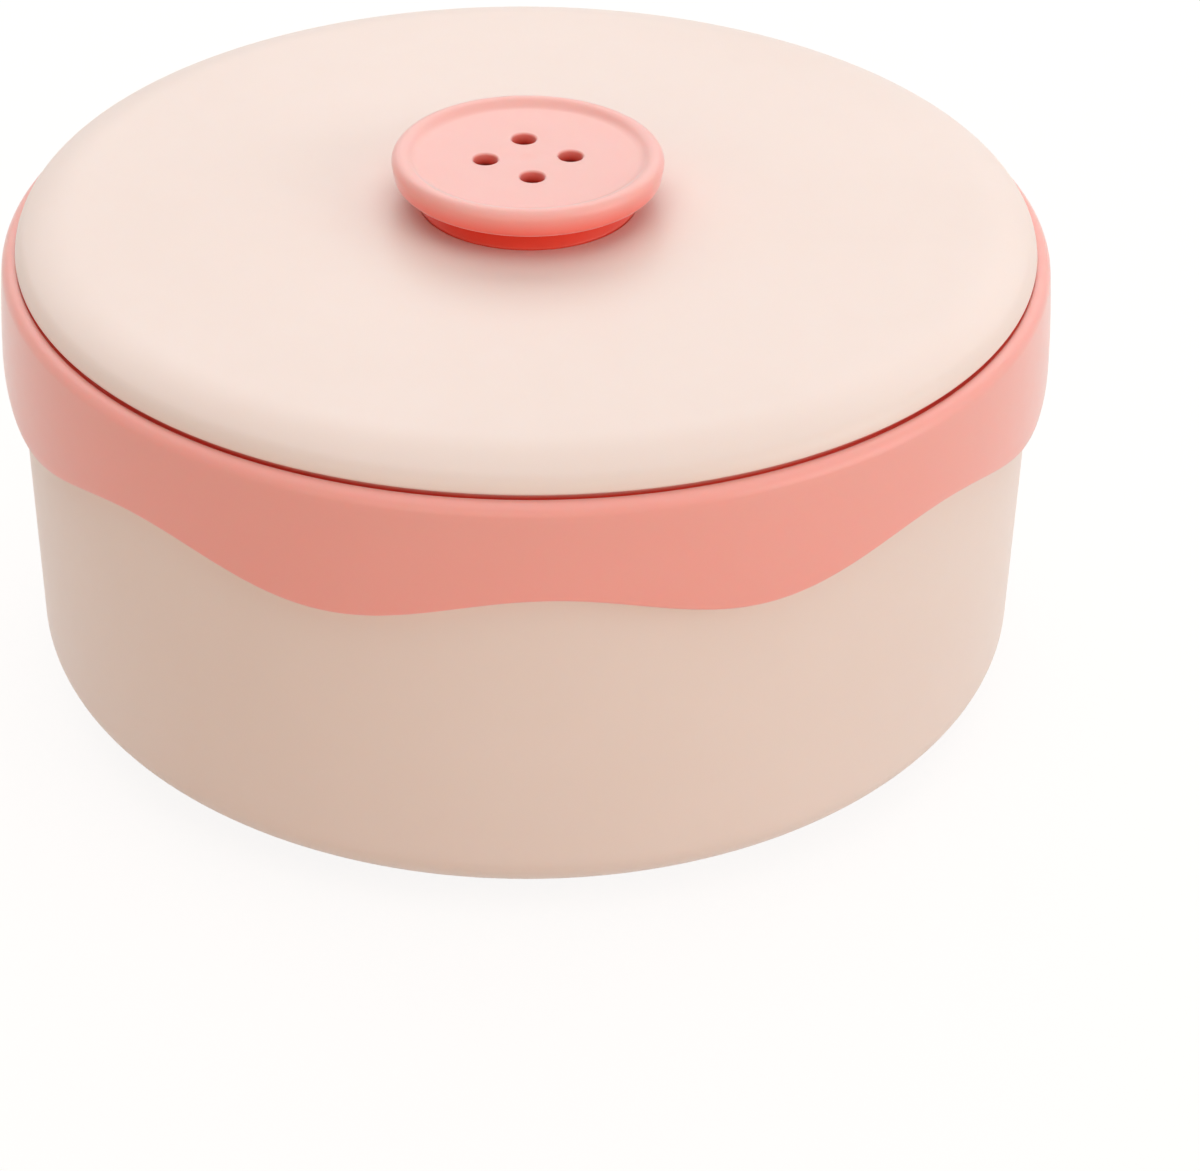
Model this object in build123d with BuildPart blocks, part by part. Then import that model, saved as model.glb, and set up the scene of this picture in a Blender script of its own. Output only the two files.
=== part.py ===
from build123d import *
from math import cos, radians, sin, tan
import os

os.makedirs("parts", exist_ok=True)

# A round sewing box that stands on its flat foot. All sizes are in millimetres.
# The origin is the centre of the foot, +Z is up, and the front of the box faces -Y.

# Tub: a moulded bowl with a slightly drafted wall and a wide soft bottom rounding
tub_rim_radius = 99.1
tub_draft = 0.9
tub_rounding_width = 25.7
tub_rounding_height = 14.0
tub_height = 88.8
tub_wall = 2.2
tub_floor = 2.8
foot_ring_width = 5.0
foot_recess = 0.8

# Collar: a ring pressed over the tub's rim, with a flared skirt and a scalloped hem
collar_fit = 0.3
collar_wall = 1.4
collar_top_thickness = 2.4
collar_lip_width = 2.3
collar_shoulder_radius = 2.4
collar_flare_angle = 6.0
collar_hem_drop = 21.5
hem_wave_count = 8
hem_points_per_wave = 4
hem_wave_height = 6.1
hem_crest_bearing = 2.1
hem_cut_reach = 4.0
hem_fillet = 0.8
snap_bead_side = 1.15
snap_bead_drop = 10.0
snap_clearance = 0.15

# Lid: a shell with a small round edge, a wide shoulder and a nearly flat crown
lid_setback = 0.4
lid_seam_gap = 0.75
lid_seam_depth = 1.4
lid_wall = 2.4
lid_edge_radius = 4.0
lid_edge_angle = 60.0
lid_shoulder_radius = 18.0
lid_crown_angle = 0.2
lid_plug_depth = 4.5
lid_plug_wall = 1.8
lid_plug_clearance = 0.4
lid_boss_radius = 7.0
lid_boss_depth = 3.0

# Knob: a large four-hole button on a waisted hollow neck
knob_radius = 26.4
knob_side_taper = 0.9
knob_gap = 4.6
knob_thickness = 5.4
knob_rim_width = 3.9
knob_rim_height = 1.3
knob_rim_slope = 0.9
knob_rim_fillet = 1.3
knob_lower_chamfer = 0.5
knob_skin = 2.2
knob_skirt = 2.8
knob_hole_diameter = 4.8
knob_hole_chamfer = 0.4
knob_hole_circle_radius = 8.15
knob_hole_bearing = 5.75
knob_hole_count = 4
knob_seat_depth = 0.4
knob_seat_clearance = 0.2
neck_setback = 5.4
neck_foot_thickness = 0.6
neck_flare = 3.5
neck_wall = 2.0
neck_boss_radius = 4.6

# Screw: a pan head screw from under the lid into the knob's boss
screw_diameter = 2.9
screw_length = 8.4
screw_head_diameter = 7.0
screw_head_height = 2.2
screw_head_chamfer = 0.6
screw_tip_chamfer = 0.5
screw_tip_room = 0.5
screw_recess_length = 4.0
screw_recess_width = 0.8
screw_recess_depth = 1.2
screw_clearance = 0.25
screw_fit = 0.05

# Inner tray: it lifts out, carries the reels on pegs and rests on ribs inside the tub
tray_seat_drop = 30.3
tray_seat_width = 2.6
tray_side_clearance = 0.6
tray_mouth_clearance = 1.4
tray_draft = 0.7
tray_wall = 1.8
tray_floor = 1.8
tray_wall_height = 16.0
tray_corner_chamfer = 0.8
tray_locator_height = 6.0
tray_rib_count = 8
tray_rib_thickness = 2.0
ear_width = 34.0
ear_height = 26.0
ear_corner_radius = 7.0
ear_clearance = 0.5
ear_slot_length = 24.0
ear_slot_height = 7.5
ear_slot_margin = 2.2

# Reels: thin white drums on a ribbed hub, each with its winding of thread
reel_count = 12
reel_radius = 10.5
reel_height = 26.0
reel_flange_thickness = 1.3
reel_flange_width = 0.6
reel_drum_wall = 0.6
reel_bore_radius = 4.4
reel_hub_wall = 0.6
reel_rib_thickness = 0.6
reel_hub_recess = 4.0
reel_side_clearance = 2.2
peg_clearance = 0.3
peg_height = 18.0
peg_tip_chamfer = 1.2
thread_edge_depth = 0.45
thread_crown = 0.2
thread_taper = 2.5

# Levels and radii that follow from these and that several pieces share
quarter_turn = 90.0
front = -quarter_turn
tub_waist_radius = tub_rim_radius - tub_draft
tub_foot_radius = tub_waist_radius - tub_rounding_width
skirt_inner_radius = tub_rim_radius + collar_fit
collar_top = tub_height + collar_top_thickness
collar_mouth_radius = tub_rim_radius - tub_wall - collar_lip_width
collar_crest_radius = skirt_inner_radius + collar_wall - collar_shoulder_radius
snap_bead_height = tub_height - snap_bead_drop
hem_mean_height = collar_top - collar_hem_drop
lid_radius = collar_crest_radius - lid_setback
lid_edge_height = collar_top + lid_seam_gap
lid_seat_radius = lid_radius - lid_seam_depth
lid_plug_radius = collar_mouth_radius - lid_plug_clearance
lid_plug_inner_radius = lid_plug_radius - lid_plug_wall
neck_foot_radius = knob_radius - neck_setback
neck_throat_radius = neck_foot_radius - neck_flare
reel_drum_radius = reel_radius - reel_flange_width
tray_seat_height = tub_height - tray_seat_drop
tray_floor_top = tray_seat_height + tray_floor
tray_rim_radius = collar_mouth_radius - tray_mouth_clearance
tray_floor_radius = tray_rim_radius - tray_draft
peg_circle_radius = tray_floor_radius - tray_wall - reel_side_clearance - reel_radius
tray_ring_radius = peg_circle_radius - reel_radius - reel_side_clearance
peg_radius = reel_bore_radius - peg_clearance

# Tub
with BuildPart() as tub_inside:
    with BuildSketch(Plane.XZ):
        with BuildLine():
            inner_rounding = EllipticalCenterArc(
                (tub_foot_radius, tub_rounding_height),
                tub_waist_radius - tub_wall - tub_foot_radius,
                tub_rounding_height - tub_floor,
                start_angle=-quarter_turn,
                arc_size=quarter_turn,
            )
            Polyline(
                inner_rounding @ 1,
                (tub_rim_radius - tub_wall, tub_height),
                (0, tub_height),
                (0, tub_floor),
                inner_rounding @ 0,
            )
        make_face()
    revolve(axis=Axis.Z)
    # What is left out of the inside becomes the ribs: a seat for the tray and a stop around it
    with PolarLocations(tray_floor_radius - tray_seat_width, tray_rib_count):
        Box(
            tub_rim_radius,
            tray_rib_thickness,
            tray_seat_height,
            align=(Align.MIN, Align.CENTER, Align.MIN),
            mode=Mode.SUBTRACT,
        )
    with PolarLocations(tray_floor_radius + tray_side_clearance, tray_rib_count):
        Box(
            tub_rim_radius,
            tray_rib_thickness,
            tray_seat_height + tray_locator_height,
            align=(Align.MIN, Align.CENTER, Align.MIN),
            mode=Mode.SUBTRACT,
        )

with BuildPart() as tub:
    with BuildSketch(Plane.XZ):
        with BuildLine():
            outer_rounding = EllipticalCenterArc(
                (tub_foot_radius, tub_rounding_height),
                tub_waist_radius - tub_foot_radius,
                tub_rounding_height,
                start_angle=-quarter_turn,
                arc_size=quarter_turn,
            )
            Polyline(
                outer_rounding @ 1,
                (tub_rim_radius, tub_height),
                (0, tub_height),
                (0, 0),
                outer_rounding @ 0,
            )
        make_face()
        with Locations((tub_rim_radius, snap_bead_height)):
            Rectangle(snap_bead_side, snap_bead_side, rotation=quarter_turn / 2)
    revolve(axis=Axis.Z)
    add(tub_inside.part, mode=Mode.SUBTRACT)
    with BuildSketch():
        Circle(tub_foot_radius - foot_ring_width)
    extrude(amount=foot_recess, mode=Mode.SUBTRACT)

tub.part.label = "tub"
export_step(tub.part, "parts/tub.step")

# Collar
hem_point_count = hem_wave_count * hem_points_per_wave


def hem_wire(radius):
    """The hem's wave, drawn at one radius as a closed curve around the box."""
    points = []
    for point in range(hem_point_count):
        bearing = 360 / hem_point_count * point
        height = hem_mean_height + hem_wave_height / 2 * cos(radians(hem_wave_count * bearing))
        angle = radians(front + hem_crest_bearing + bearing)
        points.append((radius * cos(angle), radius * sin(angle), height))
    return Spline(points, periodic=True)


# The hem is cut by a wavy surface that reaches past both faces of the skirt
skirt_bottom = hem_mean_height - hem_wave_height / 2 - hem_cut_reach / 2
shoulder_bottom = collar_top - collar_shoulder_radius * (1 - sin(radians(collar_flare_angle)))
skirt_curve_radius = (shoulder_bottom - skirt_bottom) / sin(radians(collar_flare_angle))
hem_surface = Face.make_surface_from_curves(
    hem_wire(skirt_inner_radius - hem_cut_reach),
    hem_wire(skirt_inner_radius + 2 * hem_cut_reach),
)

with BuildPart() as hem_cutter:
    extrude(hem_surface, amount=hem_wave_height + hem_cut_reach, dir=(0, 0, -1))

with BuildPart() as collar:
    with BuildSketch(Plane.XZ):
        with BuildLine():
            shoulder = JernArc(
                start=(collar_crest_radius, collar_top),
                tangent=(1, 0),
                radius=collar_shoulder_radius,
                arc_size=collar_flare_angle - quarter_turn,
            )
            skirt = JernArc(
                start=shoulder @ 1,
                tangent=shoulder % 1,
                radius=skirt_curve_radius,
                arc_size=-collar_flare_angle,
            )
            Polyline(
                skirt @ 1,
                (skirt_inner_radius, skirt_bottom),
                (skirt_inner_radius, tub_height),
                (collar_mouth_radius, tub_height),
                (collar_mouth_radius, collar_top),
                shoulder @ 0,
            )
        make_face()
        with Locations((tub_rim_radius, snap_bead_height)):
            Rectangle(
                snap_bead_side + 2 * snap_clearance,
                snap_bead_side + 2 * snap_clearance,
                rotation=quarter_turn / 2,
                mode=Mode.SUBTRACT,
            )
    revolve(axis=Axis.Z)
    add(hem_cutter.part, mode=Mode.SUBTRACT)
    hem_face = collar.faces().filter_by(GeomType.BSPLINE).sort_by(Axis.Z)[0]
    fillet(hem_face.edges(), radius=hem_fillet)

collar.part.label = "collar"
export_step(collar.part, "parts/collar.step")

# Lid
shoulder_turn = quarter_turn - lid_edge_angle - lid_crown_angle

with BuildPart() as lid:
    with BuildSketch(Plane.XZ):
        with BuildLine():
            edge_arc = JernArc(
                start=(lid_radius, lid_edge_height),
                tangent=(0, 1),
                radius=lid_edge_radius,
                arc_size=lid_edge_angle,
            )
            shoulder_arc = JernArc(
                start=edge_arc @ 1,
                tangent=edge_arc % 1,
                radius=lid_shoulder_radius,
                arc_size=shoulder_turn,
            )
            inner_edge_arc = JernArc(
                start=(lid_radius - lid_wall, lid_edge_height),
                tangent=(0, 1),
                radius=lid_edge_radius - lid_wall,
                arc_size=lid_edge_angle,
            )
            inner_shoulder_arc = JernArc(
                start=inner_edge_arc @ 1,
                tangent=inner_edge_arc % 1,
                radius=lid_shoulder_radius - lid_wall,
                arc_size=shoulder_turn,
            )
            crown_rise = tan(radians(lid_crown_angle))
            lid_top = (shoulder_arc @ 1).Y + (shoulder_arc @ 1).X * crown_rise
            lid_ceiling = (inner_shoulder_arc @ 1).Y + (inner_shoulder_arc @ 1).X * crown_rise
            Polyline(shoulder_arc @ 1, (0, lid_top), (0, lid_ceiling), inner_shoulder_arc @ 1)
            Line(edge_arc @ 0, inner_edge_arc @ 0)
        make_face()
        # The seat that rests on the collar, with the plug ring that centres the lid in its mouth
        with BuildLine():
            Polyline(
                (lid_plug_inner_radius, collar_top - lid_plug_depth),
                (lid_plug_radius, collar_top - lid_plug_depth),
                (lid_plug_radius, collar_top),
                (lid_seat_radius, collar_top),
                (lid_seat_radius, collar_top + lid_wall),
                (lid_plug_inner_radius, collar_top + lid_wall),
                close=True,
            )
        make_face()
    revolve(axis=Axis.Z)
    knob_seat = lid_top - knob_seat_depth
    lid_boss_bottom = lid_ceiling - lid_boss_depth
    with BuildSketch(Plane.XY.offset(lid_boss_bottom)):
        Circle(lid_boss_radius)
    extrude(amount=knob_seat - lid_boss_bottom)
    with BuildSketch(Plane.XY.offset(knob_seat)):
        Circle(neck_foot_radius + knob_seat_clearance)
    extrude(amount=2 * knob_seat_depth, mode=Mode.SUBTRACT)
    with Locations(Plane((0, 0, lid_boss_bottom), z_dir=(0, 0, -1))):
        CounterBoreHole(
            radius=screw_diameter / 2 + screw_clearance,
            counter_bore_radius=screw_head_diameter / 2 + screw_clearance,
            counter_bore_depth=screw_head_height + screw_clearance,
        )

lid.part.label = "lid"
export_step(lid.part, "parts/lid.step")

# Knob
knob_bottom = lid_top + knob_gap
knob_top = knob_bottom + knob_thickness
knob_face = knob_top - knob_rim_height
knob_web_bottom = knob_face - knob_skin
knob_dish_radius = knob_radius - knob_rim_width
screw_bearing = lid_boss_bottom + screw_head_height + screw_clearance
pilot_top = screw_bearing + screw_length + screw_tip_room

with BuildPart() as knob:
    with BuildSketch(Plane.XZ) as button_section:
        with BuildLine():
            Polyline(
                (0, knob_web_bottom),
                (0, knob_face),
                (knob_dish_radius, knob_face),
                (knob_dish_radius + knob_rim_slope, knob_top),
                (knob_radius, knob_top),
                (knob_radius - knob_side_taper, knob_bottom),
                (knob_radius - knob_skirt, knob_bottom),
                (knob_radius - knob_skirt, knob_web_bottom),
                close=True,
            )
        make_face()
        fillet(button_section.vertices().group_by(Axis.Y)[-1], radius=knob_rim_fillet)
        lower_corner = button_section.vertices().group_by(Axis.Y)[0].sort_by(Axis.X)[-1]
        chamfer(lower_corner, length=knob_lower_chamfer)
    revolve(axis=Axis.Z)
    with BuildSketch(Plane.XZ):
        with BuildLine():
            Polyline(
                (neck_throat_radius, knob_web_bottom),
                (neck_throat_radius, knob_seat + neck_foot_thickness + neck_flare),
                (neck_foot_radius, knob_seat + neck_foot_thickness),
                (neck_foot_radius, knob_seat),
                (neck_throat_radius - neck_wall, knob_seat),
                (neck_throat_radius - neck_wall, knob_web_bottom),
                close=True,
            )
        make_face()
        with Locations((0, knob_seat)):
            Rectangle(neck_boss_radius, knob_web_bottom - knob_seat, align=Align.MIN)
    revolve(axis=Axis.Z)
    with BuildSketch(Plane.XY.offset(knob_seat)):
        Circle(screw_diameter / 2 + screw_fit)
    extrude(amount=pilot_top - knob_seat, mode=Mode.SUBTRACT)
    with BuildSketch(Plane.XY.offset(knob_web_bottom)):
        with PolarLocations(
            knob_hole_circle_radius, knob_hole_count, start_angle=front + knob_hole_bearing
        ):
            Circle(knob_hole_diameter / 2)
    extrude(amount=knob_skin, mode=Mode.SUBTRACT)
    hole_edges = knob.edges().filter_by(
        lambda edge: edge.geom_type == GeomType.CIRCLE
        and abs(edge.radius - knob_hole_diameter / 2) < knob_hole_chamfer / 2
    )
    chamfer(hole_edges.group_by(Axis.Z)[-1], length=knob_hole_chamfer)

knob.part.label = "knob"
export_step(knob.part, "parts/knob.step")

# Knob screw
with BuildPart() as knob_screw:
    with BuildSketch(Plane.XY.offset(screw_bearing - screw_head_height)):
        Circle(screw_head_diameter / 2)
    extrude(amount=screw_head_height)
    chamfer(knob_screw.edges().group_by(Axis.Z)[0], length=screw_head_chamfer)
    with BuildSketch(Plane.XY.offset(screw_bearing)):
        Circle(screw_diameter / 2)
    extrude(amount=screw_length)
    chamfer(knob_screw.edges().group_by(Axis.Z)[-1], length=screw_tip_chamfer)
    with BuildSketch(Plane.XY.offset(screw_bearing - screw_head_height)):
        Rectangle(screw_recess_length, screw_recess_width)
        Rectangle(screw_recess_width, screw_recess_length)
    extrude(amount=screw_recess_depth, mode=Mode.SUBTRACT)

knob_screw.part.label = "knob_screw"
export_step(knob_screw.part, "parts/knob_screw.step")

# Inner tray
reel_pitch = 360 / reel_count
first_peg_angle = reel_pitch / 2
ear_outer_radius = lid_plug_inner_radius - ear_clearance

with BuildPart() as tray_ears:
    with BuildSketch(Plane.XY.offset(tray_floor_top)):
        Circle(ear_outer_radius)
        Circle(ear_outer_radius - tray_wall, mode=Mode.SUBTRACT)
    extrude(amount=ear_height)
    with BuildSketch(Plane.YZ):
        with Locations((0, tray_floor_top)):
            RectangleRounded(ear_width, 2 * ear_height, ear_corner_radius)
        with Locations((0, tray_floor_top + ear_height - ear_slot_margin - ear_slot_height / 2)):
            SlotOverall(ear_slot_length, ear_slot_height, mode=Mode.SUBTRACT)
    extrude(amount=tray_rim_radius, both=True, mode=Mode.INTERSECT)

with BuildPart() as peg:
    with BuildSketch(Plane.XY.offset(tray_floor_top)):
        Circle(peg_radius)
    extrude(amount=peg_height)
    chamfer(peg.edges().group_by(Axis.Z)[-1], length=peg_tip_chamfer)

with BuildPart() as inner_tray:
    with BuildSketch(Plane.XZ) as tray_section:
        tray_wall_top = tray_floor_top + tray_wall_height
        with BuildLine():
            Polyline(
                (0, tray_seat_height),
                (tray_floor_radius, tray_seat_height),
                (tray_rim_radius, tray_wall_top),
                (tray_rim_radius - tray_wall, tray_wall_top),
                (tray_floor_radius - tray_wall, tray_floor_top),
                (0, tray_floor_top),
                close=True,
            )
        make_face()
        tray_corner = tray_section.vertices().group_by(Axis.Y)[0].sort_by(Axis.X)[-1]
        chamfer(tray_corner, length=tray_corner_chamfer)
    revolve(axis=Axis.Z)
    with BuildSketch(Plane.XY.offset(tray_floor_top)):
        Circle(tray_ring_radius)
        Circle(tray_ring_radius - tray_wall, mode=Mode.SUBTRACT)
        Rectangle(2 * tray_ring_radius - tray_wall, tray_wall)
        with Locations((0, tray_ring_radius / 2)):
            Rectangle(tray_wall, tray_ring_radius - tray_wall)
    extrude(amount=tray_wall_height)
    add(tray_ears.part)
    with PolarLocations(peg_circle_radius, reel_count, start_angle=first_peg_angle):
        add(peg.part)

inner_tray.part.label = "inner_tray"
export_step(inner_tray.part, "parts/inner_tray.step")

# Reels and their windings, one pair on each peg
reel_hub_radius = reel_bore_radius + reel_hub_wall
reel_drum_inner_radius = reel_drum_radius - reel_drum_wall
thread_bottom = reel_flange_thickness
thread_top = reel_height - reel_flange_thickness
thread_edge_radius = reel_drum_radius + thread_edge_depth
thread_radius = thread_edge_radius + thread_crown

for index in range(reel_count):
    number = f"{index + 1:02d}"
    angle = radians(first_peg_angle + index * reel_pitch)
    outward = Vector(cos(angle), sin(angle), 0)
    reel_foot = outward * peg_circle_radius + Vector(0, 0, tray_floor_top)
    foot_plane = Plane(origin=reel_foot, x_dir=outward, z_dir=(0, 0, 1))
    section_plane = Plane(origin=reel_foot, x_dir=outward, z_dir=(sin(angle), -cos(angle), 0))
    reel_axis = Axis(reel_foot, (0, 0, 1))

    with BuildPart() as reel:
        with BuildSketch(section_plane):
            with BuildLine():
                Polyline(
                    (reel_drum_inner_radius, 0),
                    (reel_radius, 0),
                    (reel_radius, thread_bottom),
                    (reel_drum_radius, thread_bottom),
                    (reel_drum_radius, thread_top),
                    (reel_radius, thread_top),
                    (reel_radius, reel_height),
                    (reel_drum_inner_radius, reel_height),
                    close=True,
                )
            make_face()
        revolve(axis=reel_axis)
        with BuildSketch(foot_plane):
            Circle(reel_hub_radius)
            Rectangle(2 * reel_drum_inner_radius + reel_drum_wall, reel_rib_thickness)
            Rectangle(reel_rib_thickness, 2 * reel_drum_inner_radius + reel_drum_wall)
            Circle(reel_bore_radius, mode=Mode.SUBTRACT)
        extrude(amount=reel_height - reel_hub_recess)
    reel.part.label = f"reel_{number}"
    export_step(reel.part, f"parts/reel_{number}.step")

    with BuildPart() as thread:
        with BuildSketch(section_plane):
            with BuildLine():
                Polyline(
                    (reel_drum_radius, thread_bottom),
                    (thread_edge_radius, thread_bottom),
                    (thread_radius, thread_bottom + thread_taper),
                    (thread_radius, thread_top - thread_taper),
                    (thread_edge_radius, thread_top),
                    (reel_drum_radius, thread_top),
                    close=True,
                )
            make_face()
        revolve(axis=reel_axis)
    thread.part.label = f"thread_{number}"
    export_step(thread.part, f"parts/thread_{number}.step")
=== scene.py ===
# %% [markdown]
# # A round sewing box with a button for its knob
# The box is moulded plastic: a cream tub and lid, a coral collar pressed over the tub's rim, and a
# coral four-hole button as the knob. Inside, a lift-out tray carries reels of thread on pegs. The
# CAD model gives the sizes, the places and the bodies that move. Each cell below dresses one piece.

# %% Load the frame
from math import atan2, cos, hypot, pi, radians, sin, sqrt, tan

import bmesh
import bpy
from mathutils import Matrix, Quaternion, Vector


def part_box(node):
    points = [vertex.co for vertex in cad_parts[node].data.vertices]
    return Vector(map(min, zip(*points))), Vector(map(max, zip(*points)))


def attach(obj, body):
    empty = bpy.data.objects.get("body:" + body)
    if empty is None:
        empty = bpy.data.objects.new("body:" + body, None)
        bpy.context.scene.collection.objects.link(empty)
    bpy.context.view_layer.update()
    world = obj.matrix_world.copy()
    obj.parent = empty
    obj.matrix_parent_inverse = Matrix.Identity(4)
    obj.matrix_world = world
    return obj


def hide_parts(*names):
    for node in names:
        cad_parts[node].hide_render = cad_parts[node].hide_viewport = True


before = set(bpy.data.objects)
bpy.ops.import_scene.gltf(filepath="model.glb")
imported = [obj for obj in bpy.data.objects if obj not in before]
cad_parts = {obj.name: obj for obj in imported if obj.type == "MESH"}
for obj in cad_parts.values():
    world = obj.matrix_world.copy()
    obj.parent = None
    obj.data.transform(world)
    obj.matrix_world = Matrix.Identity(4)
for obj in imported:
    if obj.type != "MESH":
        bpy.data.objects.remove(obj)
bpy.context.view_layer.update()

MM = 0.001

# %% [markdown]
# ## The camera
# A product photograph of a box is taken from a little way off with a long lens, so its ellipses stay
# calm. The seam between lid and collar is a true circle, and its ellipse in the picture gives the
# camera: how far away it stands, how high it looks down from, and where the circle's centre falls.

# %% Camera
PICTURE_WIDTH = 1200
PICTURE_HEIGHT = 1171
LENS_MM = 100
SENSOR_MM = 36
SEAM_RADIUS = 98.5 * MM
SEAM_RISE = 0.45 * MM
CAMERA_DISTANCE = 6.582 * SEAM_RADIUS
CAMERA_ELEVATION = radians(27.5)
CAMERA_ROLL = radians(0.21)
SEAM_CENTRE_PIXEL = (527.9, 228.2)


def camera_turn(direction):
    """Rotation of a camera that looks along direction, then lets the seam's centre fall on its pixel."""
    level = direction.to_track_quat("-Z", "Y")
    focal_pixels = LENS_MM / SENSOR_MM * PICTURE_WIDTH
    across = (SEAM_CENTRE_PIXEL[0] - PICTURE_WIDTH / 2) / focal_pixels
    down = (SEAM_CENTRE_PIXEL[1] - PICTURE_HEIGHT / 2) / focal_pixels
    ray = Vector((across, -down, -1)).normalized()
    aside = Vector((0, 0, -1)).rotation_difference(ray)
    return level @ (Quaternion(ray, CAMERA_ROLL) @ aside).inverted()


seam_centre = Vector((0, 0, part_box("collar")[1].z + SEAM_RISE))
offset = Vector((0, -cos(CAMERA_ELEVATION), sin(CAMERA_ELEVATION))) * CAMERA_DISTANCE
camera_data = bpy.data.cameras.new("camera")
camera_data.lens = LENS_MM
camera_data.sensor_width = SENSOR_MM
camera_data.clip_end = 20
camera = bpy.data.objects.new("camera", camera_data)
camera.location = seam_centre + offset
camera.rotation_mode = "QUATERNION"
camera.rotation_quaternion = camera_turn(-offset)
bpy.context.scene.collection.objects.link(camera)
bpy.context.scene.camera = camera
print("camera at", [round(value, 4) for value in camera.location])

# %% [markdown]
# ## Tools for turned pieces
# Almost every piece is round, so it is modelled as a lathe would cut it: a few corners draw half of
# its section, and one spin sweeps them around an axis. A corner that has a rounding becomes an arc,
# because moulded plastic has no knife edge, and each rounded edge catches its own thin highlight.

# %% Section and spin
SPIN_STEPS = 192
# Points less than this far apart, in millimetres, are joined
TOUCHING = 0.001


def arc(centre, radius, start, end, count=8, squash=1.0):
    """Points of a section along an arc, in millimetres, from angle start to angle end in degrees."""
    points = []
    for step in range(count + 1):
        angle = radians(start + (end - start) * step / count)
        points.append((centre[0] + radius * cos(angle), centre[1] + radius * squash * sin(angle)))
    return points


def section(*corners, steps=6):
    """Points through corners given as (distance, height), or as (distance, height, rounding)."""
    points = []
    for index, corner in enumerate(corners):
        place = Vector(corner[:2])
        if len(corner) == 2:
            points.append(tuple(place))
            continue
        before = (Vector(corners[index - 1][:2]) - place).normalized()
        after = (Vector(corners[(index + 1) % len(corners)][:2]) - place).normalized()
        half = before.angle(after) / 2
        centre = place + (before + after).normalized() * corner[2] / sin(half)
        start = place + before * corner[2] / tan(half) - centre
        end = place + after * corner[2] / tan(half) - centre
        for step in range(steps + 1):
            points.append(tuple(centre + start.slerp(end, step / steps).normalized() * corner[2]))
    return points


def draw_line(bm, points, closed=True):
    """Vertices at these points in millimetres, and the edges that join them in turn."""
    verts = [bm.verts.new(Vector(point) * MM) for point in points]
    ends = verts[1:] + verts[:1] if closed else verts[1:]
    return verts + [bm.edges.new(pair) for pair in zip(verts, ends)]


def spin(bm, geom, turns, steps, centre=(0, 0), climb=0, **options):
    """Spins geometry around the upright axis through centre, while each step climbs, in millimetres."""
    options.update(cent=Vector((*centre, 0)) * MM, dvec=(0, 0, climb * MM), angle=2 * pi * turns)
    bmesh.ops.spin(bm, geom=geom, axis=(0, 0, 1), steps=steps, **options)


def spin_section(bm, points, closed=False, steps=SPIN_STEPS, centre=(0, 0)):
    """Spins a section around the upright axis through centre, and closes it there."""
    line = draw_line(bm, [(centre[0] + x, centre[1], z) for x, z in points], closed)
    spin(bm, line, 1, steps, centre, use_merge=True)
    bmesh.ops.remove_doubles(bm, verts=bm.verts, dist=TOUCHING * MM)


# %% [markdown]
# A few pieces aren't turned: ribs, dividers and the tray's ears. They start as a flat outline that is
# extruded, or as a block, and a small bevel rounds their edges. Repeats are copied around the axis by
# the same spin, told to duplicate instead of sweep.

# %% Plates, blocks and copies around the axis
def thicken(bm, faces, way):
    """Makes flat faces a plate: a copy of them moves by this vector, in millimetres."""
    swept = bmesh.ops.extrude_face_region(bm, geom=faces, use_keep_orig=True)["geom"]
    moved = [item for item in swept if isinstance(item, bmesh.types.BMVert)]
    bmesh.ops.translate(bm, verts=moved, vec=Vector(way) * MM)
    return moved


def plate(bm, outline, thickness):
    """An upright plate in the XZ plane, in millimetres, half its thickness to each side of it."""
    verts = [bm.verts.new(Vector((x, -thickness / 2, z)) * MM) for x, z in outline]
    return verts + thicken(bm, [bm.faces.new(verts)], (0, thickness, 0))


def block(bm, low, high, rounding):
    """A block between two corners in millimetres, with every edge rounded."""
    verts = bmesh.ops.create_cube(bm, size=1)["verts"]
    size = Vector(high) - Vector(low)
    bmesh.ops.scale(bm, verts=verts, vec=size * MM)
    bmesh.ops.translate(bm, verts=verts, vec=(Vector(low) + size / 2) * MM)
    round_edges(bm, edges_of(verts), rounding)


def edges_of(verts):
    """The edges that meet at these vertices."""
    return {edge for vert in verts for edge in vert.link_edges}


def round_edges(bm, edges, rounding):
    """Rounds these edges."""
    bmesh.ops.bevel(
        bm, geom=list(edges), offset=rounding * MM, offset_type="OFFSET", affect="EDGES",
        segments=3, profile=0.5, material=-1,
    )


def repeat_around(bm, geom, count):
    """Copies the geometry around the box's axis, to count places in all."""
    spin(bm, geom, (count - 1) / count, count - 1, use_duplicate=True)


# %% [markdown]
# Every mesh is finished alike. Its faces point outwards and are smooth, and an edge stays sharp only
# where the surface really turns a corner. The object then rides on the body of the frame that carries
# it, and stands for the CAD node whose shape it repeats.

# %% Finish a piece
CORNER_ANGLE = radians(35)


def make_object(bm, name, material):
    """Puts the mesh in the scene as an object with this material."""
    mesh = bpy.data.meshes.new(name)
    bm.to_mesh(mesh)
    bm.free()
    item = bpy.data.objects.new(name, mesh)
    item.data.materials.append(material)
    bpy.context.scene.collection.objects.link(item)
    return item


def finish_piece(bm, name, body, nodes, material, recalculate=True):
    """Makes the mesh an object that rides on its body and stands for its CAD nodes."""
    if recalculate:
        bmesh.ops.recalc_face_normals(bm, faces=bm.faces)
    for face in bm.faces:
        face.smooth = True
    for edge in bm.edges:
        edge.smooth = not edge.is_manifold or edge.calc_face_angle() < CORNER_ANGLE
    piece = make_object(bm, name, material)
    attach(piece, body)
    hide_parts(*nodes)
    print(name, "faces", len(piece.data.polygons))


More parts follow.
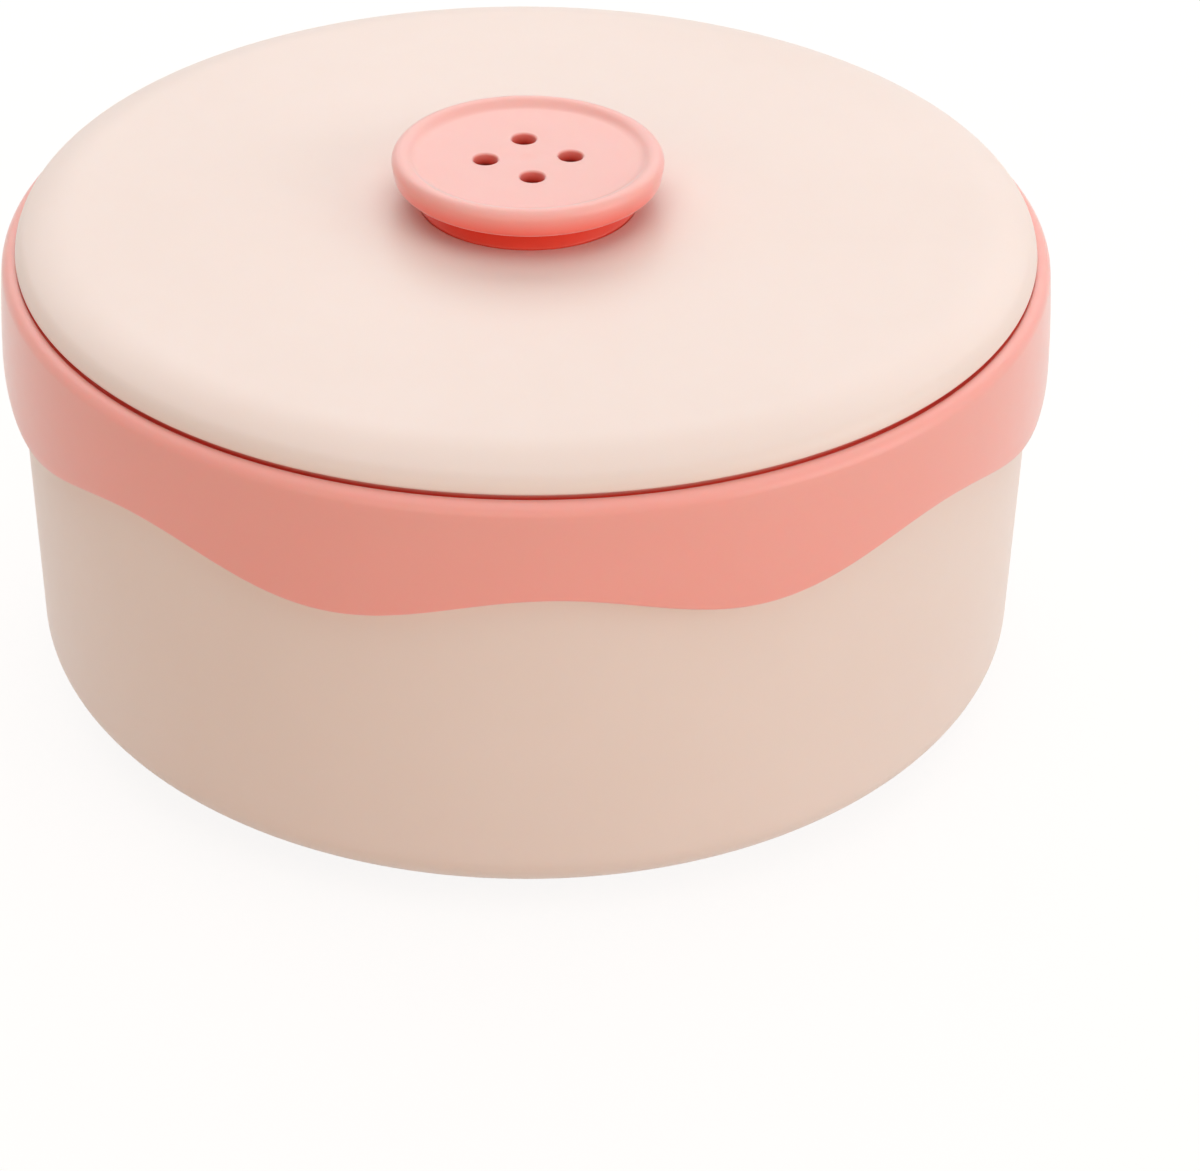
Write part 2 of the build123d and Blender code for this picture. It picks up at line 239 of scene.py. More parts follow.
# %% [markdown]
# ## Moulded plastic
# The plastic is a satin polypropylene. Seen close, such a surface has a very fine spark-eroded grain
# that softens its highlights, its gloss is a little uneven, and its colour drifts by a percent or two
# where the melt flowed. One node group gives all three, so every moulded piece shares it.

# %% Moulded surface group
def new_group(name, inputs, outputs):
    """A node group with these sockets, and with it its two end nodes and its object coordinates."""
    group = bpy.data.node_groups.new(name, "ShaderNodeTree")
    for direction, sockets in (("INPUT", inputs), ("OUTPUT", outputs)):
        for title, kind in sockets.items():
            group.interface.new_socket(name=title, in_out=direction, socket_type=f"NodeSocket{kind}")
    given = group.nodes.new("NodeGroupInput")
    result = group.nodes.new("NodeGroupOutput")
    place = group.nodes.new("ShaderNodeTexCoord").outputs["Object"]
    return group, given, result, place


def fill_inputs(tree, node, values):
    """Fills a node's inputs: a value that is a socket is linked, any other is set."""
    for name, value in values.items():
        if isinstance(value, bpy.types.NodeSocket):
            tree.links.new(value, node.inputs[name])
        else:
            node.inputs[name].default_value = value


def noise_node(tree, coordinates, scale, detail=2.0):
    """A noise texture on the given coordinates."""
    noise = tree.nodes.new("ShaderNodeTexNoise")
    fill_inputs(tree, noise, {"Vector": coordinates, "Scale": scale, "Detail": detail})
    return noise.outputs["Fac"]


def map_node(tree, value, low, high, from_low=0.3, from_high=0.7):
    """Maps a value's middle range to the range from low to high."""
    mapping = tree.nodes.new("ShaderNodeMapRange")
    limits = {"From Min": from_low, "From Max": from_high, "To Min": low, "To Max": high}
    fill_inputs(tree, mapping, {"Value": value, **limits})
    return mapping.outputs["Result"]


def math_node(tree, operation, first, second):
    """The result of an operation on two values."""
    node = tree.nodes.new("ShaderNodeMath")
    node.operation = operation
    fill_inputs(tree, node, {0: first, 1: second})
    return node.outputs["Value"]


def tinted(tree, colour, tint, amount):
    """Multiplies a colour by a tint where the amount is high."""
    mix = tree.nodes.new("ShaderNodeMix")
    mix.data_type = "RGBA"
    mix.blend_type = "MULTIPLY"
    fill_inputs(tree, mix, {"Factor": amount, "A": colour, "B": tint})
    return mix.outputs["Result"]


def bump_node(tree, height, strength, depth):
    """The normal of a surface whose height runs from 0 to 1 over a depth in millimetres."""
    bump = tree.nodes.new("ShaderNodeBump")
    fill_inputs(tree, bump, {"Height": height, "Strength": strength, "Distance": depth * MM})
    return bump.outputs["Normal"]


FLOW_SCALE = 14.0
FLOW_TINT = (0.975, 0.965, 0.955, 1)
SPECKLE_SCALE = 260.0
SPECKLE_DEPTH = 0.03
GRAIN_SCALE = 2200.0
GRAIN_DEPTH = 0.05


def moulded_surface_group():
    """Node group: a colour with a slow drift, a speckled roughness and a finely grained normal."""
    inputs = {"Colour": "Color", "Roughness": "Float", "Grain depth": "Float"}
    outputs = {"Colour": "Color", "Roughness": "Float", "Normal": "Vector"}
    group, given, result, place = new_group("moulded_surface", inputs, outputs)
    flow = map_node(group, noise_node(group, place, FLOW_SCALE, detail=3.0), 0.0, 1.0)
    colour = tinted(group, given.outputs["Colour"], FLOW_TINT, flow)
    speckle = noise_node(group, place, SPECKLE_SCALE, detail=4.0)
    speckle = map_node(group, speckle, -SPECKLE_DEPTH, SPECKLE_DEPTH)
    rough = math_node(group, "ADD", given.outputs["Roughness"], speckle)
    grain = noise_node(group, place, GRAIN_SCALE)
    normal = bump_node(group, grain, given.outputs["Grain depth"], GRAIN_DEPTH)
    fill_inputs(group, result, {"Colour": colour, "Roughness": rough, "Normal": normal})
    return group


MOULDED_SURFACE = moulded_surface_group()
print(MOULDED_SURFACE.name, "nodes", len(MOULDED_SURFACE.nodes))

# %% [markdown]
# The shader adds what the group can't. Light enters the plastic and spreads in it, so its edges look
# soft and not painted. The matt mould also leaves fine peaks that scatter light forwards, which makes
# the surface paler where it is seen at a flat angle. A sheen gives that same pale wash.

# %% Cream and coral plastic
PLASTIC_IOR = 1.49


def new_material(name):
    """A material with its node tree and its shader."""
    material = bpy.data.materials.new(name)
    material.use_nodes = True
    return material, material.node_tree, material.node_tree.nodes["Principled BSDF"]


def screen_colour(red, green, blue):
    """A colour written in 0 to 255 values for a screen, as the linear light that a shader needs."""
    linear = []
    for value in (red / 255, green / 255, blue / 255):
        linear.append(value / 12.92 if value <= 0.04045 else ((value + 0.055) / 1.055) ** 2.4)
    return Vector((*linear, 1))


def moulded_plastic(name, colour, roughness, grain_depth=0.12, sheen=0.0, bleed=None):
    """A satin plastic. Without a colour of its own it reads the piece's attribute named tint, which can
    hold painted light and shade.
    """
    material, tree, shader = new_material(name)
    if colour is None:
        painted = tree.nodes.new("ShaderNodeAttribute")
        painted.attribute_name = "tint"
        colour = painted.outputs["Color"]
    surface = tree.nodes.new("ShaderNodeGroup")
    surface.node_tree = MOULDED_SURFACE
    fill_inputs(tree, surface, {"Colour": colour, "Roughness": roughness, "Grain depth": grain_depth})
    made = surface.outputs
    finish = {"Base Color": made["Colour"], "Roughness": made["Roughness"], "Normal": made["Normal"]}
    finish.update({"IOR": PLASTIC_IOR, "Sheen Weight": sheen, "Sheen Roughness": 0.35})
    if bleed:
        finish.update({"Subsurface Weight": bleed[0], "Subsurface Radius": bleed[1:]})
        finish["Subsurface Scale"] = MM
    fill_inputs(tree, shader, finish)
    return material


# How much light enters the plastic, then how far its red, green and blue travel in millimetres
CREAM_BLEED = (0.2, 0.5, 0.3, 0.2)
CORAL_BLEED = (0.4, 2.4, 0.35, 0.2)
CREAM = screen_colour(238, 218, 207)
cream_plastic = moulded_plastic("cream_plastic", CREAM, 0.45, sheen=0.3, bleed=CREAM_BLEED)
coral_plastic = moulded_plastic("coral_plastic", None, 0.38, sheen=0.8, bleed=CORAL_BLEED)
coral_tray_plastic = moulded_plastic("coral_tray_plastic", screen_colour(246, 172, 161), 0.36)
print("plastics", cream_plastic.name, coral_plastic.name, coral_tray_plastic.name)

# %% [markdown]
# ## The tub
# The tub is a bowl: its wall leans outwards by less than a degree so that it leaves the mould, and a
# wide quarter ellipse carries it down to a flat foot ring. Inside, eight ribs carry the tray. The wall
# is spun from its section. A rib is a plate whose outer side follows the middle of the wall, so the
# two bodies of plastic meet inside it and no seam shows.

# %% Tub
TUB_RIM_RADIUS = 99.1
TUB_DRAFT = 0.9
TUB_ROUNDING_WIDTH = 25.7
TUB_ROUNDING_HEIGHT = 14.0
TUB_ROUNDING_STEPS = 24
TUB_WALL = 2.2
TUB_FLOOR = 2.8
FOOT_RING_WIDTH = 5.0
FOOT_RECESS = 0.8
TRAY_SEAT_WIDTH = 2.6
TRAY_SIDE_CLEARANCE = 0.6
TRAY_DRAFT = 0.7
LOCATOR_HEIGHT = 6.0
RIB_COUNT = 8
RIB_THICKNESS = 2.0
RIB_ROUNDING = 0.3
RIB_FOOT_ANGLE = -50
tub_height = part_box("tub")[1].z / MM
tray_low, tray_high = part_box("inner_tray")
tray_rim_radius = tray_high.x / MM
tray_floor_radius = tray_rim_radius - TRAY_DRAFT
tray_seat = tray_low.z / MM
tub_waist_radius = TUB_RIM_RADIUS - TUB_DRAFT
tub_foot_radius = tub_waist_radius - TUB_ROUNDING_WIDTH
rounding_centre = (tub_foot_radius, TUB_ROUNDING_HEIGHT)


def tub_curve(inset, floor, start, end):
    """The tub's bottom rounding, inset into its wall and floor, between two angles in degrees."""
    width = TUB_ROUNDING_WIDTH - inset
    squash = (TUB_ROUNDING_HEIGHT - floor) / width
    return arc(rounding_centre, width, start, end, TUB_ROUNDING_STEPS, squash)


def tub_section():
    """Half section of the tub, out along the foot, up the outside and back down the inside."""
    foot_inner = tub_foot_radius - FOOT_RING_WIDTH
    foot = [(0, FOOT_RECESS), (foot_inner, FOOT_RECESS), (foot_inner, 0)]
    rim = [(TUB_RIM_RADIUS, tub_height), (TUB_RIM_RADIUS - TUB_WALL, tub_height)]
    return foot + tub_curve(0, 0, -90, 0) + rim + tub_curve(TUB_WALL, TUB_FLOOR, 0, -90) + [(0, TUB_FLOOR)]


def rib_outline():
    """Outline of a rib: a seat for the tray, and a stop around the seat that centres the tray."""
    seat_inner = tray_floor_radius - TRAY_SEAT_WIDTH
    stop_inner = tray_floor_radius + TRAY_SIDE_CLEARANCE
    middle = tub_curve(TUB_WALL / 2, TUB_FLOOR / 2, RIB_FOOT_ANGLE, 0)
    buried = [point for point in middle if point[0] > seat_inner]
    top = tray_seat + LOCATOR_HEIGHT
    return buried + [
        (tub_waist_radius - TUB_WALL / 2, top),
        (stop_inner, top),
        (stop_inner, tray_seat),
        (seat_inner, tray_seat),
    ]


tub_mesh = bmesh.new()
rib = plate(tub_mesh, rib_outline(), RIB_THICKNESS)
round_edges(tub_mesh, edges_of(rib), RIB_ROUNDING)
repeat_around(tub_mesh, tub_mesh.verts[:] + tub_mesh.edges[:] + tub_mesh.faces[:], RIB_COUNT)
spin_section(tub_mesh, tub_section())
finish_piece(tub_mesh, "tub_shell", "box", ["tub"], cream_plastic)

# %% [markdown]
# ## Shades of coral
# Coral plastic lets red light through. Deep in the groove under the lid, in the button's holes and
# under its rim, shade falls, and the little light there has been through some plastic and comes out
# a deeper red. The button's face is matt from the mould, and seen at a flat angle it scatters light
# and looks paler. A material can't tell where on the piece a point lies, so this light and shade is
# painted on each coral piece, as an attribute of the mesh that the material reads: painted deep red
# shade in the recesses and down the button's side, and a painted highlight on its face.

# %% Paint a piece
CORAL = screen_colour(246, 166, 154)
# A painted highlight for the button's face, and a painted deep red shade for recesses and the button's side
HIGHLIGHT_CORAL = screen_colour(240, 178, 168)
SHADE_CORAL = screen_colour(250, 84, 62)
PAINT_MARGIN = 0.1


def paint_light_and_shade(bm, colour_at):
    """Paints colour with its light and shade into the attribute named tint, for each distance from the axis
    and height.
    """
    layer = bm.verts.layers.float_color.new("tint")
    for vert in bm.verts:
        vert[layer] = colour_at(hypot(vert.co.x, vert.co.y) / MM, vert.co.z / MM)


# %% [markdown]
# ## The collar
# The collar is a ring with a rounded shoulder and a skirt that flares outwards and ends in a hem of
# eight soft waves. A narrow groove in its top, just inside the shoulder, makes the dark seam under the
# lid, and its bottom is painted with a deep red shade. Its section is drawn with the hem level, and
# with enough rings in the skirt to bend it later.

# %% Collar section
COLLAR_FIT = 0.3
COLLAR_WALL = 1.4
COLLAR_LIP_WIDTH = 2.3
COLLAR_SHOULDER_RADIUS = 2.4
COLLAR_FLARE = 6.0
HEM_WAVE_HEIGHT = 6.1
HEM_DROP = 21.5
HEM_ROUNDING = 0.8
HEM_CUT_REACH = 4.0
SKIRT_RINGS = 14
GROOVE_SETBACK = 0.5
GROOVE_WIDTH = 1.3
GROOVE_DEPTH = 1.0
GROOVE_ROUNDING = 0.3
GROOVE_EDGE_ROUNDING = 0.2
MOUTH_ROUNDING = 0.4
collar_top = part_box("collar")[1].z / MM
skirt_inner_radius = TUB_RIM_RADIUS + COLLAR_FIT
collar_crest_radius = skirt_inner_radius + COLLAR_WALL - COLLAR_SHOULDER_RADIUS
collar_mouth_radius = TUB_RIM_RADIUS - TUB_WALL - COLLAR_LIP_WIDTH
groove_outer = collar_crest_radius - GROOVE_SETBACK
groove_inner = groove_outer - GROOVE_WIDTH
groove_bottom = collar_top - GROOVE_DEPTH
hem_mean = collar_top - HEM_DROP
skirt_foot = hem_mean - HEM_WAVE_HEIGHT / 2 - HEM_CUT_REACH / 2
flare = radians(COLLAR_FLARE)
shoulder_foot = collar_top - COLLAR_SHOULDER_RADIUS * (1 - sin(flare))
skirt_curve = (shoulder_foot - skirt_foot) / sin(flare)


def skirt_radius(height):
    """Outer radius of the skirt at a height: a long arc that ends upright at the skirt's foot."""
    shoulder_edge = collar_crest_radius + COLLAR_SHOULDER_RADIUS * cos(flare)
    foot_radius = shoulder_edge + skirt_curve * (1 - cos(flare))
    return foot_radius - skirt_curve + sqrt(skirt_curve**2 - (height - skirt_foot) ** 2)


def collar_section():
    """Half section of the collar with its hem at the mean height."""
    shoulder_centre = (collar_crest_radius, collar_top - COLLAR_SHOULDER_RADIUS)
    shoulder = arc(shoulder_centre, COLLAR_SHOULDER_RADIUS, 90, COLLAR_FLARE, 12)
    skirt_top = shoulder[-1][1]
    skirt_end = hem_mean + HEM_ROUNDING
    drop = (skirt_end - skirt_top) / SKIRT_RINGS
    heights = [skirt_top + drop * ring for ring in range(1, SKIRT_RINGS)]
    skirt = [(skirt_radius(height), height) for height in heights]
    outer_centre = (skirt_radius(skirt_end) - HEM_ROUNDING, skirt_end)
    inner_centre = (skirt_inner_radius + HEM_ROUNDING, skirt_end)
    hem = arc(outer_centre, HEM_ROUNDING, 0, -90, 6) + arc(inner_centre, HEM_ROUNDING, -90, -180, 6)
    inside = [(skirt_inner_radius, height) for height in reversed(heights)]
    seat = [(skirt_inner_radius, tub_height), (collar_mouth_radius, tub_height)]
    mouth = section(
        seat[-1],
        (collar_mouth_radius, collar_top, MOUTH_ROUNDING),
        (groove_inner, collar_top),
        (groove_inner, groove_bottom, GROOVE_ROUNDING),
        (groove_outer, groove_bottom, GROOVE_ROUNDING),
        (groove_outer, collar_top, GROOVE_EDGE_ROUNDING),
        shoulder[0],
    )
    return shoulder + skirt + hem + inside + seat + mouth[1:-1]


print("collar section points", len(collar_section()))

# %% [markdown]
# The wave comes after the spin. Each ring of the skirt moves up or down by its share of it, from
# nothing at the shoulder to all of it at the hem, so the rounded hem keeps its thickness all round. A
# point on the outside also moves in or out, to stay on the skirt's flare.

# %% Collar hem
HEM_WAVES = 8
HEM_CREST_BEARING = radians(2.1)


def wave_hem(bm):
    """Moves the skirt's rings by their share of the hem's wave, and keeps the skirt's flare."""
    for vert in bm.verts:
        height = vert.co.z / MM
        if height >= shoulder_foot:
            continue
        share = min(1.0, (shoulder_foot - height) / (shoulder_foot - hem_mean - HEM_ROUNDING))
        bearing = atan2(vert.co.x, -vert.co.y) - HEM_CREST_BEARING
        lift = share * HEM_WAVE_HEIGHT / 2 * cos(HEM_WAVES * bearing)
        radius = hypot(vert.co.x, vert.co.y) / MM
        if radius > (skirt_inner_radius + skirt_radius(height)) / 2:
            growth = 1 + (skirt_radius(height + lift) - skirt_radius(height)) / radius
            vert.co.x *= growth
            vert.co.y *= growth
        vert.co.z += lift * MM


def collar_colour_and_groove_shade(radius, height):
    """Coral, with a painted deep red shade at the bottom of the groove."""
    across = groove_inner - PAINT_MARGIN < radius < groove_outer + PAINT_MARGIN
    down = groove_bottom - PAINT_MARGIN < height < collar_top - GROOVE_DEPTH / 2
    return SHADE_CORAL if across and down else CORAL


collar_mesh = bmesh.new()
spin_section(collar_mesh, collar_section(), closed=True, steps=2 * SPIN_STEPS)
wave_hem(collar_mesh)
paint_light_and_shade(collar_mesh, collar_colour_and_groove_shade)
finish_piece(collar_mesh, "collar_ring", "box", ["collar"], coral_plastic)

# %% [markdown]
# ## The lid
# The lid is a shell with a small round edge, a wide soft shoulder and a crown that is nearly flat. A
# thin plug ring under it drops into the collar's mouth, and a seat rests on the collar. Between edge
# and collar stays a narrow groove, which is the dark seam, helped by the shade painted at the bottom
# of the collar's groove, and the edge's own rounding draws the bright line above it.

# %% Lid
LID_SETBACK = 0.4
LID_SEAM_GAP = 0.75
LID_SEAM_DEPTH = 1.4
LID_WALL = 2.4
LID_EDGE_RADIUS = 4.0
LID_EDGE_ANGLE = 60.0
LID_SHOULDER_RADIUS = 18.0
LID_CROWN_ANGLE = 0.2
LID_PLUG_WALL = 1.8
LID_PLUG_CLEARANCE = 0.4
LID_LOWER_ROUNDING = 0.4
LID_BOSS_RADIUS = 7.0
LID_BOSS_DEPTH = 3.0
LID_CROWN_REACH = 60.0
NECK_FOOT_RADIUS = 21.0
SEAT_CLEARANCE = 0.2
SEAT_ROUNDING = 0.12
PLUG_ROUNDING = 0.5
lid_low, lid_high = (corner.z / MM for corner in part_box("lid"))
knob_low, knob_high = (corner.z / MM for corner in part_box("knob"))
lid_radius = collar_crest_radius - LID_SETBACK
lid_edge = collar_top + LID_SEAM_GAP
lid_seat_radius = lid_radius - LID_SEAM_DEPTH
plug_radius = collar_mouth_radius - LID_PLUG_CLEARANCE


def lid_curve(inset):
    """The lid's edge and shoulder arcs, inset into its wall, from the edge to the crown."""
    turn = radians(LID_EDGE_ANGLE)
    step_in = LID_SHOULDER_RADIUS - LID_EDGE_RADIUS
    edge_centre = (lid_radius - LID_EDGE_RADIUS, lid_edge)
    shoulder_centre = (edge_centre[0] - step_in * cos(turn), edge_centre[1] - step_in * sin(turn))
    edge = arc(edge_centre, LID_EDGE_RADIUS - inset, 0, LID_EDGE_ANGLE, 12)
    crown_start = 90 - LID_CROWN_ANGLE
    return edge + arc(shoulder_centre, LID_SHOULDER_RADIUS - inset, LID_EDGE_ANGLE, crown_start, 18)[1:]


def lid_section():
    """Half section of the lid: from the knob's seat over the outside, and back under it to the axis."""
    recess = NECK_FOOT_RADIUS + SEAT_CLEARANCE
    edge = (recess, lid_high, SEAT_ROUNDING)
    crown = section((0, knob_low), (recess, knob_low), edge, (LID_CROWN_REACH, lid_high))
    corner = LID_LOWER_ROUNDING
    lower = arc((lid_radius - corner, lid_edge + corner), corner, 0, -90, 5)
    outside = [point for point in reversed(lid_curve(0)) if point[1] > lid_edge + corner]
    under = section(
        lower[-1],
        (lid_seat_radius, lid_edge),
        (lid_seat_radius, collar_top),
        (plug_radius, collar_top),
        (plug_radius, lid_low, PLUG_ROUNDING),
        (plug_radius - LID_PLUG_WALL, lid_low, PLUG_ROUNDING),
        (plug_radius - LID_PLUG_WALL, collar_top + LID_WALL),
    )
    inside = [point for point in lid_curve(LID_WALL) if point[1] > collar_top + LID_WALL]
    ceiling = inside[-1][1]
    boss_bottom = ceiling - LID_BOSS_DEPTH
    boss = [(LID_BOSS_RADIUS, ceiling), (LID_BOSS_RADIUS, boss_bottom), (0, boss_bottom)]
    return crown[:-1] + outside + lower + under[1:] + inside + boss


lid_mesh = bmesh.new()
spin_section(lid_mesh, lid_section(), steps=2 * SPIN_STEPS)
finish_piece(lid_mesh, "lid_shell", "lid", ["lid"], cream_plastic)

# %% [markdown]
# ## The knob
# The knob is a coat button at three times its size: a dished face inside a rolled rim, four holes with
# softened edges, and in the middle the small dimple where the plastic entered the mould. The rim, the
# side and the waisted neck below them are one section to spin, which leaves the middle open.

# %% Knob section
KNOB_RADIUS = 26.4
KNOB_SIDE_TAPER = 0.9
KNOB_THICKNESS = 5.4
KNOB_RIM_WIDTH = 4.6
KNOB_RIM_HEIGHT = 1.3
KNOB_RIM_SLOPE = 1.6
KNOB_RIM_ROUNDING = 2.4
KNOB_EDGE_ROUNDING = 1.75
KNOB_LOWER_ROUNDING = 1.4
KNOB_SKIN = 2.2
KNOB_SKIRT = 2.8
KNOB_SKIRT_ROUNDING = 0.3
KNOB_OPEN_RADIUS = 13.0
NECK_FLARE = 3.5
NECK_FLARE_ROUNDING = 2.0
NECK_TOP_ROUNDING = 0.5
NECK_FOOT_THICKNESS = 0.6
NECK_FOOT_ROUNDING = 0.2
NECK_WALL = 2.0
knob_face = knob_high - KNOB_RIM_HEIGHT
knob_web = knob_face - KNOB_SKIN
knob_bottom = knob_high - KNOB_THICKNESS
neck_radius = NECK_FOOT_RADIUS - NECK_FLARE
dish = KNOB_RADIUS - KNOB_RIM_WIDTH
skirt = KNOB_RADIUS - KNOB_SKIRT
knob_section = section(
    (KNOB_OPEN_RADIUS, knob_face),
    (dish, knob_face, KNOB_RIM_ROUNDING),
    (dish + KNOB_RIM_SLOPE, knob_high, KNOB_RIM_ROUNDING),
    (KNOB_RADIUS, knob_high, KNOB_EDGE_ROUNDING),
    (KNOB_RADIUS - KNOB_SIDE_TAPER, knob_bottom, KNOB_LOWER_ROUNDING),
    (skirt, knob_bottom, KNOB_SKIRT_ROUNDING),
    (skirt, knob_web, KNOB_SKIRT_ROUNDING),
    (neck_radius, knob_web, NECK_TOP_ROUNDING),
    (neck_radius, knob_low + NECK_FOOT_THICKNESS + NECK_FLARE, NECK_FLARE_ROUNDING),
    (NECK_FOOT_RADIUS, knob_low + NECK_FOOT_THICKNESS, NECK_FOOT_ROUNDING),
    (NECK_FOOT_RADIUS, knob_low),
    (neck_radius - NECK_WALL, knob_low),
    (neck_radius - NECK_WALL, knob_web, NECK_TOP_ROUNDING),
    (KNOB_OPEN_RADIUS, knob_web),
)
print("knob section points", len(knob_section))

# %% [markdown]
# Each hole is a section spun about its own axis, and so are the dimple and the boss that the screw
# turns into. A triangle fill then closes the flat faces between their rings and the open middle.

# %% Knob holes and shade
HOLE_COUNT = 4
HOLE_RADIUS = 2.4
HOLE_ROUNDING = 0.45
HOLE_CIRCLE_RADIUS = 8.15
HOLE_BEARING = 5.75 - 90
DIMPLE = ((2.0, 0), (1.3, -0.05), (0, -0.07))
BOSS_RADIUS = 4.6
BOSS_ROUNDING = 0.3
PILOT_RADIUS = 1.5
PILOT_HEIGHT = 6.0
# Share of the painted deep red shade at the foot of the button's side
KNOB_SIDE_SHADE = 0.95
SMALL_STEPS = 48


def knob_light_and_shade(radius, height):
    """A painted highlight on the button's face, painted shade deepening down its side, and deepest in its
    holes and on its neck.
    """
    if radius > skirt + PAINT_MARGIN:
        return HIGHLIGHT_CORAL.lerp(SHADE_CORAL, KNOB_SIDE_SHADE * (knob_high - height) / KNOB_THICKNESS)
    return HIGHLIGHT_CORAL.lerp(SHADE_CORAL, max(0.0, min(1.0, knob_face - height)))


def fill_level(bm, height):
    """Fills the flat region between the open rings that lie at one height, in millimetres."""
    level = {vert for vert in bm.verts if abs(vert.co.z / MM - height) < TOUCHING}
    rings = [edge for edge in bm.edges if edge.is_boundary and level.issuperset(edge.verts)]
    bmesh.ops.triangle_fill(bm, edges=rings, use_beauty=True, use_dissolve=False)


knob_mesh = bmesh.new()
spin_section(knob_mesh, knob_section)
softened = arc((HOLE_RADIUS + HOLE_ROUNDING, knob_face - HOLE_ROUNDING), HOLE_ROUNDING, 90, 180, 6)
for hole in range(HOLE_COUNT):
    turn = radians(HOLE_BEARING + 360 / HOLE_COUNT * hole)
    hole_centre = (HOLE_CIRCLE_RADIUS * cos(turn), HOLE_CIRCLE_RADIUS * sin(turn))
    hole_section = softened + [(HOLE_RADIUS, knob_web)]
    spin_section(knob_mesh, hole_section, steps=SMALL_STEPS, centre=hole_centre)
dimple = [(radius, knob_face + depth) for radius, depth in DIMPLE]
spin_section(knob_mesh, dimple, steps=32)
boss_section = section(
    (BOSS_RADIUS, knob_web),
    (BOSS_RADIUS, knob_low, BOSS_ROUNDING),
    (PILOT_RADIUS, knob_low),
    (PILOT_RADIUS, knob_low + PILOT_HEIGHT),
    (0, knob_low + PILOT_HEIGHT),
)
spin_section(knob_mesh, boss_section, steps=SMALL_STEPS)
fill_level(knob_mesh, knob_face)
fill_level(knob_mesh, knob_web)
paint_light_and_shade(knob_mesh, knob_light_and_shade)
finish_piece(knob_mesh, "knob_button", "lid", ["knob"], coral_plastic)

# %% [markdown]
# ## The screw
# The pan head screw under the lid is small and hidden in use, so its CAD node stays and only gets a
# finish: zinc plating, which is bright but slightly cloudy, with fine turning marks round its axis.

# %% Screw steel
CLOUD_SCALE = 900.0
CLOUD_TINT = (0.86, 0.88, 0.92, 1)
SCREW_ROUGHNESS = (0.24, 0.4)
ZINC = (0.62, 0.62, 0.64, 1)


def screw_steel_material():
    """Zinc plated steel with turning marks and a cloudy gloss."""
    material, tree, shader = new_material("screw_steel")
    place = tree.nodes.new("ShaderNodeTexCoord").outputs["Object"]
    base = tree.nodes.new("ShaderNodeRGB")
    base.outputs["Color"].default_value = ZINC
    cloud = noise_node(tree, place, CLOUD_SCALE, detail=3.0)
    colour = tinted(tree, base.outputs["Color"], CLOUD_TINT, map_node(tree, cloud, 0.0, 1.0))
    marks = tree.nodes.new("ShaderNodeTexWave")
    marks.wave_type = "RINGS"
    marks.rings_direction = "Z"
    fill_inputs(tree, marks, {"Vector": place, "Scale": 1500.0})
    normal = bump_node(tree, marks.outputs["Fac"], strength=0.2, depth=0.02)
    roughness = map_node(tree, cloud, *SCREW_ROUGHNESS)
    finish = {"Base Color": colour, "Metallic": 1.0, "Roughness": roughness, "Normal": normal}
    fill_inputs(tree, shader, finish)
    return material


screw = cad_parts["knob_screw"]
screw.data.materials.clear()
screw.data.materials.append(screw_steel_material())
print("knob_screw keeps its CAD mesh, materials", len(screw.data.materials))

# %% [markdown]
# ## The tray
# The tray is a shallow pan that lifts out. A ring wall parts the middle, where small tools lie, from
# the outer channel with its twelve pegs. A wall across the middle and half a wall behind it make three
# compartments, and two ears with finger slots stand up at the sides. Pan and ring wall are one spun
# section, and so is each peg. The walls are rounded blocks whose ends are sunk in the ring.

# %% Tray
TRAY_WALL = 1.8
TRAY_FLOOR = 1.8
TRAY_WALL_HEIGHT = 16.0
PEG_COUNT = 12
PEG_RADIUS = 4.1
PEG_HEIGHT = 18.0
PEG_TIP_CHAMFER = 1.2
PEG_ROUNDING = 0.6
PAN_ROUNDING = 0.8
TRAY_RIM_ROUNDING = 0.85
DIVIDER_ROUNDING = 0.6
REEL_RADIUS = 10.5
REEL_SIDE_CLEARANCE = 2.2
SUNK = 0.5
floor_top = tray_seat + TRAY_FLOOR
wall_top = floor_top + TRAY_WALL_HEIGHT
peg_circle_radius = tray_floor_radius - TRAY_WALL - REEL_SIDE_CLEARANCE - REEL_RADIUS
ring_radius = peg_circle_radius - REEL_RADIUS - REEL_SIDE_CLEARANCE


def peg_bearing(index):
    """Angle of a peg from the box's +X axis."""
    return 2 * pi * (index + 0.5) / PEG_COUNT


def peg_place(index):
    """A peg's centre in millimetres."""
    bearing = peg_bearing(index)
    return (peg_circle_radius * cos(bearing), peg_circle_radius * sin(bearing))


tray_section = section(
    (0, tray_seat),
    (tray_floor_radius, tray_seat, PAN_ROUNDING),
    (tray_rim_radius, wall_top, TRAY_RIM_ROUNDING),
    (tray_rim_radius - TRAY_WALL, wall_top, TRAY_RIM_ROUNDING),
    (tray_floor_radius - TRAY_WALL, floor_top, PAN_ROUNDING),
    (ring_radius, floor_top, DIVIDER_ROUNDING),
    (ring_radius, wall_top, TRAY_RIM_ROUNDING),
    (ring_radius - TRAY_WALL, wall_top, TRAY_RIM_ROUNDING),
    (ring_radius - TRAY_WALL, floor_top, DIVIDER_ROUNDING),
    (0, floor_top),
)
tray_mesh = bmesh.new()
wall_end = ring_radius - TRAY_WALL / 2
half_wall = TRAY_WALL / 2
foot = floor_top - SUNK
block(tray_mesh, (-wall_end, -half_wall, foot), (wall_end, half_wall, wall_top), DIVIDER_ROUNDING)
block(tray_mesh, (-half_wall, 0, foot), (half_wall, wall_end, wall_top), DIVIDER_ROUNDING)
